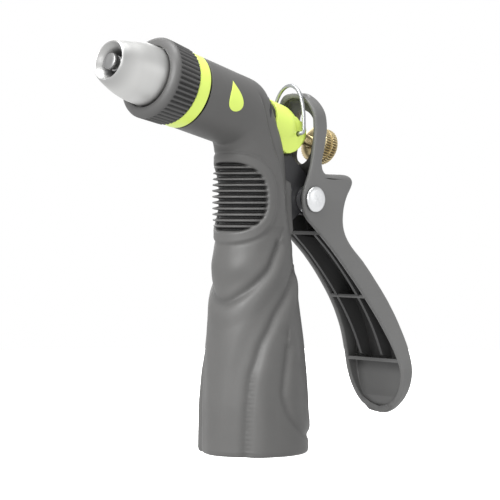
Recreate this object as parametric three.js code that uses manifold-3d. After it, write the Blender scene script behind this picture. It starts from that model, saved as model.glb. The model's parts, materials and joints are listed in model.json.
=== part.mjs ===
// Rear-lever hose spray nozzle, in millimetres.
//
// Frame: +Z up, the base rim stands on Z = 0, the nozzle points to -X and the squeeze lever hangs on
// the +X side. The handle axis is vertical. The barrel axis leaves it at BARREL_HEIGHT, tilted up
// towards the nose. Parts that share the barrel axis are built in a turned group, in which local X
// is the distance along that axis, counted rearward from the handle axis ("station" below).
import * as THREE from 'three';
import { mergeVertices } from 'three/addons/utils/BufferGeometryUtils.js';
import Module from 'manifold-3d';

const wasm = await Module();
wasm.setup();

// ---- driving dimensions ----
const GAP = 0.3; // clearance between touching pieces
const HANDLE_X = -0.23; // handle axis, so that the origin is the middle of the object's box
const BARREL_HEIGHT = 112.3; // where the barrel axis crosses the handle axis
const BARREL_TILT = THREE.MathUtils.degToRad(15);
const BASE_R = 18.8; // outside of the grip at its base
const INLET_R = 13.3; // hose thread bore, 3/4 inch garden hose
const INLET_DEPTH = 14;
const PIVOT = { x: 19.5, z: 85.2, r: 2.4 }; // lever pivot, measured from the handle axis
const LUG_HALF = 5.2; // half thickness of the casting's pivot lug
const CHEEK_HALF = 9.5; // outside of the lever's cheeks at the pivot
const CHEEK_T = 1.8; // wall of the lever
const ROD_R = 2; // valve stem
const BARREL_R = 9.6; // outside of the cast barrel, under the cover and the collar
const BORE_R = 7.2; // barrel bore, round the spring
const REAR_BORE_R = 6; // narrower rear end of the bore, which holds the packing
const REAR_BOSS_R = 7.3; // outside of the casting round the packing nut
const SPIGOT_R = 6.4; // front spigot that the nose cone slides on
const OUTLET_R = 4; // hole through the spigot, ahead of the seat
const WATERWAY_R = 4.4; // hole up the handle
const HANDLE_TUBE = { base: 15.4, shoulder: 11.6, waist: 9.4, top: 9.2 }; // radii of the cast handle
const SEAT_STATION = -42; // valve seat inside the barrel
const COLLAR_REAR = -37.9;
const COLLAR_FRONT = -49.4;
const FLANGE = { front: -47.3, rear: -45.6, r: 11.1 }; // flange of the nose cone, held in the collar
const NOSE_R = 9.92; // nose cone where it leaves the collar
const NOSE_TIP = -66.4;
const COVER_FRONT = -32.6; // front edge of the grip cover on the barrel
const COVER_REAR = 3; // rear face of the grip cover round the packing nut
const PACKING_FRONT = COVER_REAR - 9; // step in the bore that the packing washer rests on
const PACKING_R = REAR_BORE_R - 0.3; // packing washer, packing ring and the nut's front end
const STEM_HOLE_R = ROD_R + GAP;
const STEM_COLLAR = { front: -36, rear: -34.6, r: 4.2 }; // carries the valve and the spring
const SPRING = { wire: 0.55, radius: 4.6, turns: 7 };
const SPRING_WASHER = { front: STEM_COLLAR.rear + GAP, rear: STEM_COLLAR.rear + GAP + 1 };
const NUT_FRONT = 28.3; // brass adjusting nut behind the lever's web
const NUT_REAR = 35.8;
const CLIP_PIVOT = { station: 15, up: -1, wire: 0.65 }; // hold-open wire in the packing nut's ears

// ---- materials ----
const finish = (color, roughness, metalness) =>
  new THREE.MeshStandardMaterial({ color, roughness, metalness });
const ZINC = finish(0x2b2b2d, 0.6, 0.3);
const GREY_RUBBER = finish(0x727170, 0.65, 0);
const GREY_PAINT = finish(0x757575, 0.5, 0.1);
const LIME = finish(0xdcf56e, 0.45, 0);
const SATIN_METAL = finish(0xc9ccce, 0.3, 1);
const BRASS = finish(0xc9a05a, 0.35, 1);
const STEEL = finish(0xb9bcbf, 0.3, 1);
const BLACK_RUBBER = finish(0x1b1b1b, 0.8, 0);

// ---- geometry helpers ----
// Turns a geometry right side out, judged by the sign of its volume.
function facedOut(geometry) {
  const position = geometry.attributes.position;
  const index = geometry.index.array;
  const corner = [new THREE.Vector3(), new THREE.Vector3(), new THREE.Vector3()];
  let volume = 0;
  for (let i = 0; i < index.length; i += 3) {
    corner.forEach((v, k) => v.fromBufferAttribute(position, index[i + k]));
    volume += corner[0].dot(corner[1].cross(corner[2]));
  }
  if (volume < 0) {
    for (let i = 0; i < index.length; i += 3) {
      [index[i], index[i + 1]] = [index[i + 1], index[i]];
    }
  }
  return geometry;
}

// Keeps only positions, merges shared vertices and drops triangles without area.
function welded(geometry) {
  const bare = new THREE.BufferGeometry();
  bare.setAttribute('position', geometry.attributes.position.clone());
  if (geometry.index) bare.setIndex(geometry.index.clone());
  const merged = mergeVertices(bare, 1e-4);
  const index = merged.index.array;
  const kept = [];
  for (let i = 0; i < index.length; i += 3) {
    const [a, b, c] = [index[i], index[i + 1], index[i + 2]];
    if (a !== b && b !== c && c !== a) kept.push(a, b, c);
  }
  merged.setIndex(kept);
  return facedOut(merged);
}

function solid(geometry) {
  const clean = welded(geometry);
  return new wasm.Manifold(new wasm.Mesh({
    numProp: 3,
    vertProperties: new Float32Array(clean.attributes.position.array),
    triVerts: new Uint32Array(clean.index.array),
  }));
}

function geometryOf(manifold) {
  const mesh = manifold.getMesh();
  const geometry = new THREE.BufferGeometry();
  geometry.setAttribute('position', new THREE.BufferAttribute(mesh.vertProperties, 3));
  geometry.setIndex(new THREE.BufferAttribute(mesh.triVerts, 1));
  return geometry;
}

const joined = (first, ...others) => others.reduce((sum, next) => sum.add(next), first);
const cut = (first, ...others) => others.reduce((rest, next) => rest.subtract(next), first);

// Revolves a closed outline of [along, radius] points about the X axis.
function turnedX(outline, segments = 24) {
  const points = [...outline, outline[0]].map(([along, radius]) => new THREE.Vector2(radius, along));
  return new THREE.LatheGeometry(points, segments).rotateZ(-Math.PI / 2);
}

// The same about the Z axis.
function turnedZ(outline, segments = 30) {
  const points = [...outline, outline[0]].map(([along, radius]) => new THREE.Vector2(radius, along));
  return new THREE.LatheGeometry(points, segments).rotateX(Math.PI / 2);
}

const rodX = (from, to, radius, segments) =>
  turnedX([[from, 0], [from, radius], [to, radius], [to, 0]], segments);
const ringX = (from, to, inner, outer, segments) =>
  turnedX([[from, inner], [from, outer], [to, outer], [to, inner]], segments);
const rodZ = (from, to, radius, segments) =>
  turnedZ([[from, 0], [from, radius], [to, radius], [to, 0]], segments);
const rodY = (x, z, from, to, radius, segments = 20) =>
  new THREE.CylinderGeometry(radius, radius, to - from, segments)
    .translate(x, (from + to) / 2, z);

// Extrudes an outline drawn in X and Z through the thickness from y0 to y1.
function plateY(points, y0, y1) {
  const shape = new THREE.Shape(points.map(([x, z]) => new THREE.Vector2(x, z)));
  return new THREE.ExtrudeGeometry(shape, { depth: y1 - y0, bevelEnabled: false })
    .rotateX(Math.PI / 2)
    .translate(0, y1, 0);
}

// Extrudes an outline drawn in Y and Z through the thickness from x0 to x1.
function plateX(points, x0, x1) {
  const shape = new THREE.Shape(points.map(([y, z]) => new THREE.Vector2(y, z)));
  return new THREE.ExtrudeGeometry(shape, { depth: x1 - x0, bevelEnabled: false })
    .rotateX(Math.PI / 2)
    .rotateZ(Math.PI / 2)
    .translate(x0, 0, 0);
}

// Joins rings of equal point count into one closed skin with a fan at each end.
function loft(rings) {
  const count = rings[0].length;
  const points = rings.flat();
  const index = [];
  for (let row = 0; row < rings.length - 1; row += 1) {
    for (let i = 0; i < count; i += 1) {
      const a = row * count + i;
      const b = row * count + (i + 1) % count;
      index.push(a, b, b + count, a, b + count, a + count);
    }
  }
  const last = (rings.length - 1) * count;
  for (let i = 1; i < count - 1; i += 1) {
    index.push(0, i + 1, i, last, last + i, last + i + 1);
  }
  const geometry = new THREE.BufferGeometry();
  geometry.setAttribute('position', new THREE.Float32BufferAttribute(points.flat(), 3));
  geometry.setIndex(index);
  return geometry;
}

const curveThrough = (points, divisions) =>
  new THREE.SplineCurve(points.map(([x, y]) => new THREE.Vector2(x, y)))
    .getPoints(divisions)
    .map((p) => [p.x, p.y]);

// Points on an arc about a centre, angles in degrees.
function arc([x, z], radius, from, to, steps) {
  return Array.from({ length: steps + 1 }, (_, i) => {
    const angle = THREE.MathUtils.degToRad(from + ((to - from) * i) / steps);
    return [x + radius * Math.cos(angle), z + radius * Math.sin(angle)];
  });
}

// Places something built along local X onto the barrel axis.
const BARREL_MATRIX = new THREE.Matrix4()
  .makeTranslation(0, 0, BARREL_HEIGHT)
  .multiply(new THREE.Matrix4().makeRotationY(BARREL_TILT));
const onBarrel = (geometry) => geometry.applyMatrix4(BARREL_MATRIX);

// ---- scene graph ----
const nozzle = new THREE.Group();
nozzle.position.x = HANDLE_X;
const barrelGroup = new THREE.Group();
barrelGroup.position.z = BARREL_HEIGHT;
barrelGroup.rotation.y = BARREL_TILT;
nozzle.add(barrelGroup);

function addPiece(group, name, geometry, material) {
  const mesh = new THREE.Mesh(welded(geometry), material);
  mesh.name = name;
  group.add(mesh);
}

// ---- zinc body and its cover ----
// Outline of the pivot lug in X and Z. grow widens it for the slot in the cover.
function lugOutline(grow) {
  const radius = 5.4 + grow;
  const centre = [PIVOT.x, PIVOT.z];
  return [
    [-2, 99.5 + grow],
    [12.5, 100 + grow],
    [18.4 + grow, 95 + grow],
    ...arc(centre, radius, 40, -120, 10),
    [6, 73.5 - grow],
    [-2, 73 - grow],
  ];
}

// Outside of the casting: the handle tube, the barrel and the rear boss.
function castingEnvelope(grow) {
  const handle = turnedZ([
    [grow ? -1 : 0, 0],
    [grow ? -1 : 0, HANDLE_TUBE.base + grow],
    [INLET_DEPTH + 2, HANDLE_TUBE.base + grow],
    [30, HANDLE_TUBE.shoulder + grow],
    [60, HANDLE_TUBE.waist + grow],
    [BARREL_HEIGHT - 4, HANDLE_TUBE.top + grow],
    [BARREL_HEIGHT - 4, 0],
  ]);
  const barrel = onBarrel(turnedX([
    [-45, 0],
    [-45, BARREL_R + grow],
    [COVER_REAR - 4.4, BARREL_R + grow],
    [COVER_REAR - 3 + grow, BARREL_R - 1.4 + grow],
    [COVER_REAR - 3 + grow, REAR_BOSS_R + grow],
    [COVER_REAR + (grow ? 2 : 0.2), REAR_BOSS_R + grow],
    [COVER_REAR + (grow ? 2 : 0.2), 0],
  ]));
  const rearNotch = onBarrel(rodX(COVER_REAR - 3 + grow, 24, 14));
  const lug = plateY(lugOutline(grow), -LUG_HALF - grow, LUG_HALF + grow);
  return joined(solid(handle).subtract(solid(rearNotch)), solid(barrel), solid(lug));
}

function bodyCasting() {
  const spigot = onBarrel(rodX(-52, -44, SPIGOT_R));
  const bore = onBarrel(turnedX([
    [SEAT_STATION, 0],
    [SEAT_STATION, BORE_R],
    [PACKING_FRONT, BORE_R],
    [PACKING_FRONT, REAR_BORE_R],
    [COVER_REAR + 2, REAR_BORE_R],
    [COVER_REAR + 2, 0],
  ]));
  const outlet = onBarrel(rodX(-54, SEAT_STATION + 1, OUTLET_R));
  const inlet = turnedZ([
    [-1, 0], [-1, INLET_R + 0.6], [0.9, INLET_R], [INLET_DEPTH, INLET_R], [INLET_DEPTH, 0],
  ]);
  const waterway = rodZ(INLET_DEPTH - 1, BARREL_HEIGHT - 2, WATERWAY_R, 28).translate(-3.4, 0, 0);
  const pin = rodY(PIVOT.x, PIVOT.z, -LUG_HALF - 1, LUG_HALF + 1, PIVOT.r + GAP);
  return geometryOf(cut(
    castingEnvelope(0).add(solid(spigot)),
    solid(bore), solid(outlet), solid(inlet), solid(waterway), solid(pin),
  ));
}

// Centre and radius of the grip at each height, from the base to inside the elbow.
const GRIP = [
  { z: 0, x: 0, r: BASE_R - 1.2 },
  { z: 1.2, x: 0, r: BASE_R },
  { z: 16, x: 0, r: BASE_R - 0.1 },
  { z: 26, x: 0, r: 17.9 },
  { z: 38, x: 0, r: 16.8 },
  { z: 50, x: 0, r: 15.1 },
  { z: 60, x: 0, r: 13.9 },
  { z: 68, x: 0, r: 13.4 },
  { z: 74, x: -0.4, r: 12.5 },
  { z: 80, x: -1.2, r: 12.6 },
  { z: 88, x: -1.6, r: 12.6 },
  { z: 96, x: -1.3, r: 12 },
  { z: 104, x: -2.8, r: 11 },
  { z: 109, x: -4.4, r: 8.6 },
];

function gripCover() {
  const sides = 32;
  const rings = GRIP.map(({ z, x, r }) => Array.from({ length: sides }, (_, i) => {
    const angle = (2 * Math.PI * i) / sides;
    return [x + r * Math.cos(angle), r * Math.sin(angle), z];
  }));
  const barrel = onBarrel(turnedX([
    [COVER_FRONT, 0],
    [COVER_FRONT, 12.2],
    [COVER_FRONT + 0.4, 12.5],
    [-20, 12.3],
    [-6, 12],
    [-2, 11.8],
    [0.6, 10.6],
    [2.3, 9.3],
    [COVER_REAR, 8.2],
    [COVER_REAR, 0],
  ], 32));
  const ribs = [];
  const ribPitch = 4;
  for (let i = 0; i < 6; i += 1) {
    const z = 75.4 + i * ribPitch;
    const reach = 76 * Math.sqrt(1 - ((z - 85.4) / 12.5) ** 2);
    const wedge = [[0, 0], ...arc([0, 0], 20, 180 - reach, 180 + reach, 6)];
    const shape = new THREE.Shape(wedge.map(([x, y]) => new THREE.Vector2(x, y)));
    const slice = new THREE.ExtrudeGeometry(shape, { depth: 2, bevelEnabled: false })
      .translate(-1.4, 0, z - 1);
    ribs.push(solid(slice).subtract(solid(rodZ(z - 2, z + 2, 11.3, 24).translate(-1.4, 0, 0))));
  }
  const nutRecess = onBarrel(rodX(COVER_REAR, 24, 8.4));
  return geometryOf(cut(
    solid(loft(rings)).add(solid(barrel)),
    castingEnvelope(GAP),
    solid(nutRecess),
    ...ribs,
  ));
}

// ---- twist tip ----
// A ribbed sleeve: every other pair of points of each ring stands proud.
function ribbedBlank(stations, ribCount, depth) {
  const count = ribCount * 4;
  const rings = stations.map(([station, radius, ribbed]) => Array.from({ length: count }, (_, i) => {
    const angle = (2 * Math.PI * i) / count;
    const r = radius - (ribbed && i % 4 > 1 ? depth : 0);
    return [station, r * Math.cos(angle), r * Math.sin(angle)];
  }));
  return solid(loft(rings));
}

function twistCollar() {
  const blank = ribbedBlank([
    [COLLAR_FRONT, 12.4, false],
    [COLLAR_FRONT + 0.5, 13.5, false],
    [COLLAR_FRONT + 1.4, 14, false],
    [COLLAR_FRONT + 1.7, 14, true],
    [COLLAR_REAR, 13, true],
  ], 20, 0.5);
  const bore = turnedX([
    [COLLAR_FRONT - 1, 0],
    [COLLAR_FRONT - 1, NOSE_R + GAP],
    [FLANGE.front - GAP, NOSE_R + GAP],
    [FLANGE.front - GAP, FLANGE.r + GAP],
    [FLANGE.rear + 1.2, FLANGE.r + GAP],
    [FLANGE.rear + 1.2, BARREL_R + GAP],
    [COLLAR_REAR + 1, BARREL_R + GAP],
    [COLLAR_REAR + 1, 0],
  ]);
  return geometryOf(blank.subtract(solid(bore)));
}

function noseCone() {
  const inner = SPIGOT_R + 0.6;
  const shell = curveThrough([[-49, NOSE_R], [-54, 9.9], [-59, 9.1], [-63.5, 7.8], [-65.9, 6.95]], 6);
  const funnel = curveThrough([[-65.4, 5.9], [-63.4, 4.4], [-60.5, 3.4], [-58.6, 3.2]], 4);
  return turnedX([
    [FLANGE.rear, inner],
    [FLANGE.rear, FLANGE.r],
    [FLANGE.front, FLANGE.r],
    [FLANGE.front, NOSE_R],
    ...shell,
    [NOSE_TIP, 6.5],
    [-66.2, 6.1],
    ...funnel,
    [-56.5, 3.6],
    [-53.6, inner],
    [-49.2, inner],
    [-49.2, inner + 1.1],
    [-46.8, inner + 1.1],
    [-46.8, inner],
  ], 26);
}

const tipRing = () => turnedX(arc([-48, 7.25], 0.55, 0, 300, 5), 20);

// ---- valve and stem ----
function valveStem() {
  return turnedX([
    [-52, 0],
    [-52, 1.4],
    [SEAT_STATION + 0.2, 1.4],
    [SEAT_STATION + 0.2, ROD_R],
    [STEM_COLLAR.front, ROD_R],
    [STEM_COLLAR.front, STEM_COLLAR.r],
    [STEM_COLLAR.rear, STEM_COLLAR.r],
    [STEM_COLLAR.rear, ROD_R],
    [NUT_REAR + 0.9, ROD_R],
    [NUT_REAR + 1.3, ROD_R - 0.4],
    [NUT_REAR + 1.3, 0],
  ], 18);
}

function deflectorPin() {
  return turnedX([
    [-66, 0],
    [-66, 2.4],
    [-65.7, 2.7],
    [-64.4, 2.7],
    [-64.2, 2.2],
    [-63.3, 2.2],
    [-63.1, 2.6],
    [-61.6, 2.6],
    [-60.4, 1.7],
    [-52 - GAP, 1.7],
    [-52 - GAP, 0],
  ], 20);
}

function returnSpring() {
  const { wire, radius, turns } = SPRING;
  const stepsPerTurn = 9;
  const from = SPRING_WASHER.rear + wire + GAP;
  const to = PACKING_FRONT - wire;
  const helix = Array.from({ length: turns * stepsPerTurn + 1 }, (_, i) => {
    const angle = (2 * Math.PI * i) / stepsPerTurn;
    const along = from + ((to - from) * i) / (turns * stepsPerTurn);
    return new THREE.Vector3(along, radius * Math.cos(angle), radius * Math.sin(angle));
  });
  const section = new THREE.Shape(arc([0, 0], wire, 0, 288, 4).map(([x, y]) => new THREE.Vector2(x, y)));
  return new THREE.ExtrudeGeometry(section, {
    steps: turns * stepsPerTurn,
    extrudePath: new THREE.CatmullRomCurve3(helix),
  });
}

// ---- rear packing ----
// Outline of one ear of the packing nut, in station and height above the barrel axis.
const EAR = [
  [10.6, 4.6],
  [13, 4.4],
  [16.6, 2.6],
  [18.1, 0],
  [18.3, -2.4],
  [17.4, -4.9],
  [15.8, -6.8],
  [13.8, -8.2],
  [12, -8.8],
  [10.6, -8.7],
];

function packingNut() {
  const front = COVER_REAR + 0.2 + GAP;
  const dome = curveThrough([[10.5, 8], [13, 7.2], [15, 6.2], [16.2, 5.7]], 4);
  const body = solid(turnedX([
    [PACKING_FRONT + 4, STEM_HOLE_R],
    [PACKING_FRONT + 4, PACKING_R],
    [front, PACKING_R],
    [front, 8],
    ...dome,
    [20.4, 5.5],
    [20.9, 5],
    [20.9, STEM_HOLE_R],
  ], 24));
  const ears = [-1, 1].map((side) => solid(plateY(EAR, side > 0 ? 4.8 : -7, side > 0 ? 7 : -4.8)));
  const holes = [-1, 1].map((side) => solid(rodY(
    CLIP_PIVOT.station, CLIP_PIVOT.up, side > 0 ? 5 : -9, side > 0 ? 9 : -5, CLIP_PIVOT.wire + GAP, 16,
  )));
  const stemHole = solid(rodX(-4, 30, STEM_HOLE_R, 24));
  return geometryOf(cut(joined(body, ...ears), stemHole, ...holes));
}

// Wire bail: a stub in each ear, an outward bend, two legs and a round top.
function holdOpenClip() {
  const { station, up, wire } = CLIP_PIVOT;
  const half = [
    [0, -5.4, 0],
    [0, -7.4, 0],
    [0.5, -8.1, 0.3],
    [0.9, -8.3, 1.1],
    [0.6, -7.9, 4.6],
    [-0.1, -7, 9],
    [-0.8, -5.3, 13.4],
    [-1.3, -3, 16],
    [-1.5, 0, 16.9],
  ].map(([s, y, t]) => new THREE.Vector3(station + s, y, up + t));
  const mirrored = half.slice(0, -1).reverse().map((p) => new THREE.Vector3(p.x, -p.y, p.z));
  const section = new THREE.Shape(arc([0, 0], wire, 0, 300, 5).map(([x, y]) => new THREE.Vector2(x, y)));
  return new THREE.ExtrudeGeometry(section, {
    steps: 44,
    extrudePath: new THREE.CatmullRomCurve3([...half, ...mirrored], false, 'centripetal'),
  });
}

// ---- squeeze lever ----
// Side view, X and Z: the open front edge, the rear edge and the inside of the rear web.
const LEVER_FRONT = [
  [18, 121.6],
  [19.6, 116],
  [20.1, 109],
  [18.8, 98.5],
  [15.9, 90.5],
  [14.3, 85.4],
  [15.4, 80.2],
  [20.7, 75.4],
  [29.9, 67.7],
  [43.3, 53.5],
  [53.5, 39.1],
  [58.8, 28.3],
  [61, 18],
  [62.2, 8.4],
];
const LEVER_REAR = [
  [63.8, 8.4],
  [65.8, 15],
  [66.2, 24],
  [64.4, 34],
  [60.2, 44],
  [54.4, 53],
  [46.3, 63],
  [39.2, 69.4],
  [35.6, 74],
  [34.6, 80],
  [36, 85.8],
  [39, 90],
  [38.2, 92.9],
  [33, 93.6],
  [26.6, 93.8],
  [24, 96.6],
  [25.6, 103.6],
  [26.7, 109],
  [26.2, 114],
  [24, 119],
  [21, 121.6],
];
const WEB_INNER = [
  [62.6, 10.6],
  [63.6, 17],
  [63.6, 24],
  [61.9, 33.2],
  [57.8, 42.6],
  [52.3, 51.3],
  [44.4, 61],
  [37.4, 67.4],
  [33.4, 73],
  [32.3, 80],
  [33.8, 86.6],
  [36.2, 90],
  [33, 91.4],
  [25.4, 91.6],
  [22, 94.6],
  [22.4, 99.4],
  [24, 105],
  [24.6, 109],
  [24.1, 113.6],
  [22, 117.8],
  [19.5, 119.8],
];
// Half width of the lever at each height, from the tail to the hoop.
const HALF_WIDTH = [
  [13.9, 25],
  [13.6, 28.3],
  [12, 35.5],
  [10.1, 46.3],
  [9, 57],
  [8.6, 66],
  [9, 74],
  [CHEEK_HALF, 84],
  [CHEEK_HALF, 113],
];

// Front view of the lever, drawn in Y and Z, drawn in by wall on every side.
function leverFrontView(wall) {
  const side = curveThrough(HALF_WIDTH, 14).map(([y, z]) => [y - wall, z]);
  const ellipse = (z, height, width, from) => Array.from({ length: 9 }, (_, i) => {
    const angle = from + (Math.PI * (i + 1)) / 10;
    return [width * Math.cos(angle), z + height * Math.sin(angle)];
  });
  return [
    ...side,
    ...ellipse(113, 8.6 - wall, CHEEK_HALF - wall, 0),
    ...side.map(([y, z]) => [-y, z]).reverse(),
    ...ellipse(25, 16.6 - wall, 13.9 - wall, Math.PI),
  ];
}

function triggerLever() {
  const frontEdge = curveThrough(LEVER_FRONT, 28);
  const rearEdge = curveThrough(LEVER_REAR, 44);
  const webInner = curveThrough(WEB_INNER, 36);
  const block = solid(plateY([...frontEdge, ...rearEdge], -20, 20))
    .intersect(solid(plateX(leverFrontView(0), 0, 80)));
  const hollow = solid(plateY([...webInner, [0, 125], [0, 0], [60, 0]], -20, 20))
    .intersect(solid(plateX(leverFrontView(CHEEK_T), 0, 80)));
  const alongRibs = ([, z]) => z < 74 && z > 27;
  const ribOutline = [
    ...frontEdge.filter(alongRibs),
    ...rearEdge.filter(alongRibs).map(([x, z]) => [x - 1, z]),
  ];
  const longRibs = [-5.5, 4.4].map((y) => solid(plateY(ribOutline, y, y + 1.1)));
  const crossRibs = [27.7, 51, 73.6].map((z) => solid(
    new THREE.BoxGeometry(80, 40, 1.4).translate(40, 0, z),
  ).intersect(block));
  const rodSlot = solid(plateX([
    ...arc([0, 111.6], 4.4, 0, 180, 10),
    ...arc([0, 101.6], 4.4, 180, 360, 10),
  ], 20, 40));
  const pin = solid(rodY(PIVOT.x, PIVOT.z, -20, 20, PIVOT.r + GAP));
  return geometryOf(cut(
    joined(block.subtract(hollow), ...longRibs, ...crossRibs),
    rodSlot,
    pin,
  ));
}

function pivotRivet() {
  const half = CHEEK_HALF + GAP;
  const rod = solid(rodY(PIVOT.x, PIVOT.z, -half - 0.4, half + 0.4, PIVOT.r));
  const heads = [-1, 1].map((side) => {
    const dome = turnedX([[0, 0], [0, 4.4], [0.5, 4.3], [1, 3.5], [1.4, 0]], 24);
    return solid(dome.rotateZ((side * Math.PI) / 2).translate(PIVOT.x, side * half, PIVOT.z));
  });
  return geometryOf(joined(rod, ...heads));
}

function pivotWasher(side) {
  const from = LUG_HALF + GAP;
  const to = CHEEK_HALF - CHEEK_T - GAP;
  return turnedX([
    [from, PIVOT.r + GAP], [from, 4.8], [to, 4.8], [to, PIVOT.r + GAP],
  ], 24).rotateZ((side * Math.PI) / 2).translate(PIVOT.x, 0, PIVOT.z);
}

// Brass nut with a domed front that the lever's web pushes on.
function adjustingNut() {
  const blank = ribbedBlank([
    [NUT_FRONT, 2.8, false],
    [NUT_FRONT + 0.5, 4.6, false],
    [NUT_FRONT + 1.4, 6.3, true],
    [NUT_REAR - 0.5, 6.3, true],
    [NUT_REAR, 5.8, false],
  ], 14, 0.4);
  return geometryOf(blank.subtract(solid(rodX(NUT_FRONT - 1, NUT_REAR + 1, STEM_HOLE_R, 24))));
}

// ---- assembly ----
addPiece(nozzle, 'body_casting', bodyCasting(), ZINC);
addPiece(nozzle, 'grip_cover', gripCover(), GREY_RUBBER);
addPiece(nozzle, 'inlet_washer', turnedZ([
  [INLET_DEPTH - 3, 9],
  [INLET_DEPTH - 3, INLET_R - GAP],
  [INLET_DEPTH - GAP, INLET_R - GAP],
  [INLET_DEPTH - GAP, 9],
]), BLACK_RUBBER);
addPiece(barrelGroup, 'accent_ring', turnedX([
  [COLLAR_REAR + GAP, BARREL_R + GAP],
  [COLLAR_REAR + GAP, 12.5],
  [COLLAR_REAR + 0.7, 12.7],
  [COVER_FRONT - GAP, 12.7],
  [COVER_FRONT - GAP, BARREL_R + GAP],
], 32), LIME);
addPiece(barrelGroup, 'twist_collar', twistCollar(), GREY_PAINT);
addPiece(barrelGroup, 'nose_cone', noseCone(), SATIN_METAL);
addPiece(barrelGroup, 'tip_o_ring', tipRing(), BLACK_RUBBER);
addPiece(barrelGroup, 'valve_stem', valveStem(), BRASS);
addPiece(barrelGroup, 'deflector_pin', deflectorPin(), SATIN_METAL);
addPiece(barrelGroup, 'valve_washer', ringX(SEAT_STATION + 0.4, -39.4, STEM_HOLE_R, 5.8), BLACK_RUBBER);
addPiece(barrelGroup, 'valve_retainer', ringX(-39.4 + GAP, STEM_COLLAR.front - GAP, STEM_HOLE_R, 5.2), BRASS);
addPiece(barrelGroup, 'spring_washer', ringX(
  SPRING_WASHER.front, SPRING_WASHER.rear, STEM_HOLE_R, 6.2,
), STEEL);
addPiece(barrelGroup, 'return_spring', returnSpring(), STEEL);
addPiece(barrelGroup, 'packing_washer', ringX(
  PACKING_FRONT + GAP, PACKING_FRONT + 1.6, STEM_HOLE_R, PACKING_R,
), BRASS);
addPiece(barrelGroup, 'packing_ring', ringX(
  PACKING_FRONT + 1.9, PACKING_FRONT + 3.7, STEM_HOLE_R, PACKING_R,
), BLACK_RUBBER);
addPiece(barrelGroup, 'packing_nut', packingNut(), LIME);
addPiece(barrelGroup, 'hold_open_clip', holdOpenClip(), STEEL);
addPiece(nozzle, 'trigger_lever', triggerLever(), GREY_PAINT);
addPiece(nozzle, 'pivot_rivet', pivotRivet(), STEEL);
addPiece(nozzle, 'pivot_washer_near', pivotWasher(-1), STEEL);
addPiece(nozzle, 'pivot_washer_far', pivotWasher(1), STEEL);
addPiece(barrelGroup, 'adjusting_nut', adjustingNut(), BRASS);

export default nozzle;
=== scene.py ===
import json
import math

import bmesh
import bpy
import numpy as np
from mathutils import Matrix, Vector
from mathutils.bvhtree import BVHTree


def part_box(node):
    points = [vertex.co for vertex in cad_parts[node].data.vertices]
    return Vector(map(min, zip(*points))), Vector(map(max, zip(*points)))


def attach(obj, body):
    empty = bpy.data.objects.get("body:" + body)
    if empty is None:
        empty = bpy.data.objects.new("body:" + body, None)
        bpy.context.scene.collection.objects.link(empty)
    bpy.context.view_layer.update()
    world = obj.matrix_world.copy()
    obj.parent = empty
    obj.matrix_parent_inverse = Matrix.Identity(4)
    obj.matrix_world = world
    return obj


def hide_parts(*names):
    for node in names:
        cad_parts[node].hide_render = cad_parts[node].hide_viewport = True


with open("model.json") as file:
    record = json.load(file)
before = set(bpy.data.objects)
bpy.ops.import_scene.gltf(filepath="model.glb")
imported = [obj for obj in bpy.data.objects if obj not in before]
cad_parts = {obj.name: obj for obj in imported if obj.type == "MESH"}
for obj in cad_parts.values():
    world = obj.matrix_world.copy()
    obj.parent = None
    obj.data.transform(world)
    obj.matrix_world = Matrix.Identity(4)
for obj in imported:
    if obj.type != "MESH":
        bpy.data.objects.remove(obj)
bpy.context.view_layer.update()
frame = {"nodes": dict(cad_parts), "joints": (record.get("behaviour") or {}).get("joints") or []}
JOINTS = {joint["name"]: joint for joint in frame["joints"]}
MM = 0.001

# ---- places, from the frame and from the part's driving dimensions ----
# "Side" coordinates are millimetres in X and Z, counted from the foot of the handle axis.
# "Barrel" coordinates are millimetres: station along the barrel axis, counted rearward from the
# handle axis, and up, square to it. Y is the same in both.
WASHER_LOW, WASHER_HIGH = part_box("inlet_washer")
HANDLE_X = (WASHER_LOW.x + WASHER_HIGH.x) / 2 / MM
REAR = Vector(JOINTS["nut_turn"]["axis"]).normalized()
UP = Vector((-REAR.z, 0, REAR.x))
NUT_POINT = Vector(JOINTS["nut_turn"]["pos_m"]) / MM
BARREL_ORIGIN = NUT_POINT + REAR * ((HANDLE_X - NUT_POINT.x) / REAR.x)
PIVOT = Vector(JOINTS["lever_squeeze"]["pos_m"]) / MM
COVER_FRONT = -32.6
COVER_REAR = 3.0
COLLAR_FRONT = -49.4
COLLAR_REAR = -37.9
NUT_FRONT = 28.3
NUT_REAR = 35.8
CLIP_STATION = 15.0
CLIP_UP = -1.0
CHEEK_HALF = 9.5
CHEEK_WALL = 1.8


def side_points(x, y, z):
    """Side coordinates in millimetres to row-frame metres, as arrays."""
    return np.stack([np.asarray(x) + HANDLE_X, np.asarray(y), np.asarray(z)], -1) * MM


def barrel_points(station, y, up):
    """Barrel coordinates in millimetres to row-frame metres, as arrays."""
    station, y, up = np.broadcast_arrays(station, y, up)
    along = station[..., None] * np.array(REAR) + up[..., None] * np.array(UP)
    return (np.array(BARREL_ORIGIN) + along + y[..., None] * np.array([0, 1, 0])) * MM


def to_barrel(points):
    """Row-frame metres to barrel coordinates in millimetres."""
    offset = points / MM - np.array(BARREL_ORIGIN)
    return offset @ np.array(REAR), offset[..., 1], offset @ np.array(UP)


# ---- camera, light and floor ----
def make_camera():
    azimuth = math.radians(44)
    elevation = math.radians(1.773)
    distance = 0.7079
    aim = Vector((HANDLE_X - 1.89, 0, 68.2)) * MM
    back = Vector((
        -math.sin(azimuth) * math.cos(elevation),
        -math.cos(azimuth) * math.cos(elevation),
        math.sin(elevation),
    ))
    data = bpy.data.cameras.new("camera")
    data.lens = 151.2
    data.sensor_width = 36
    camera = bpy.data.objects.new("camera", data)
    camera.location = aim + back * distance
    camera.rotation_euler = (-back).to_track_quat("-Z", "Y").to_euler()
    bpy.context.scene.collection.objects.link(camera)
    bpy.context.scene.camera = camera


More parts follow.
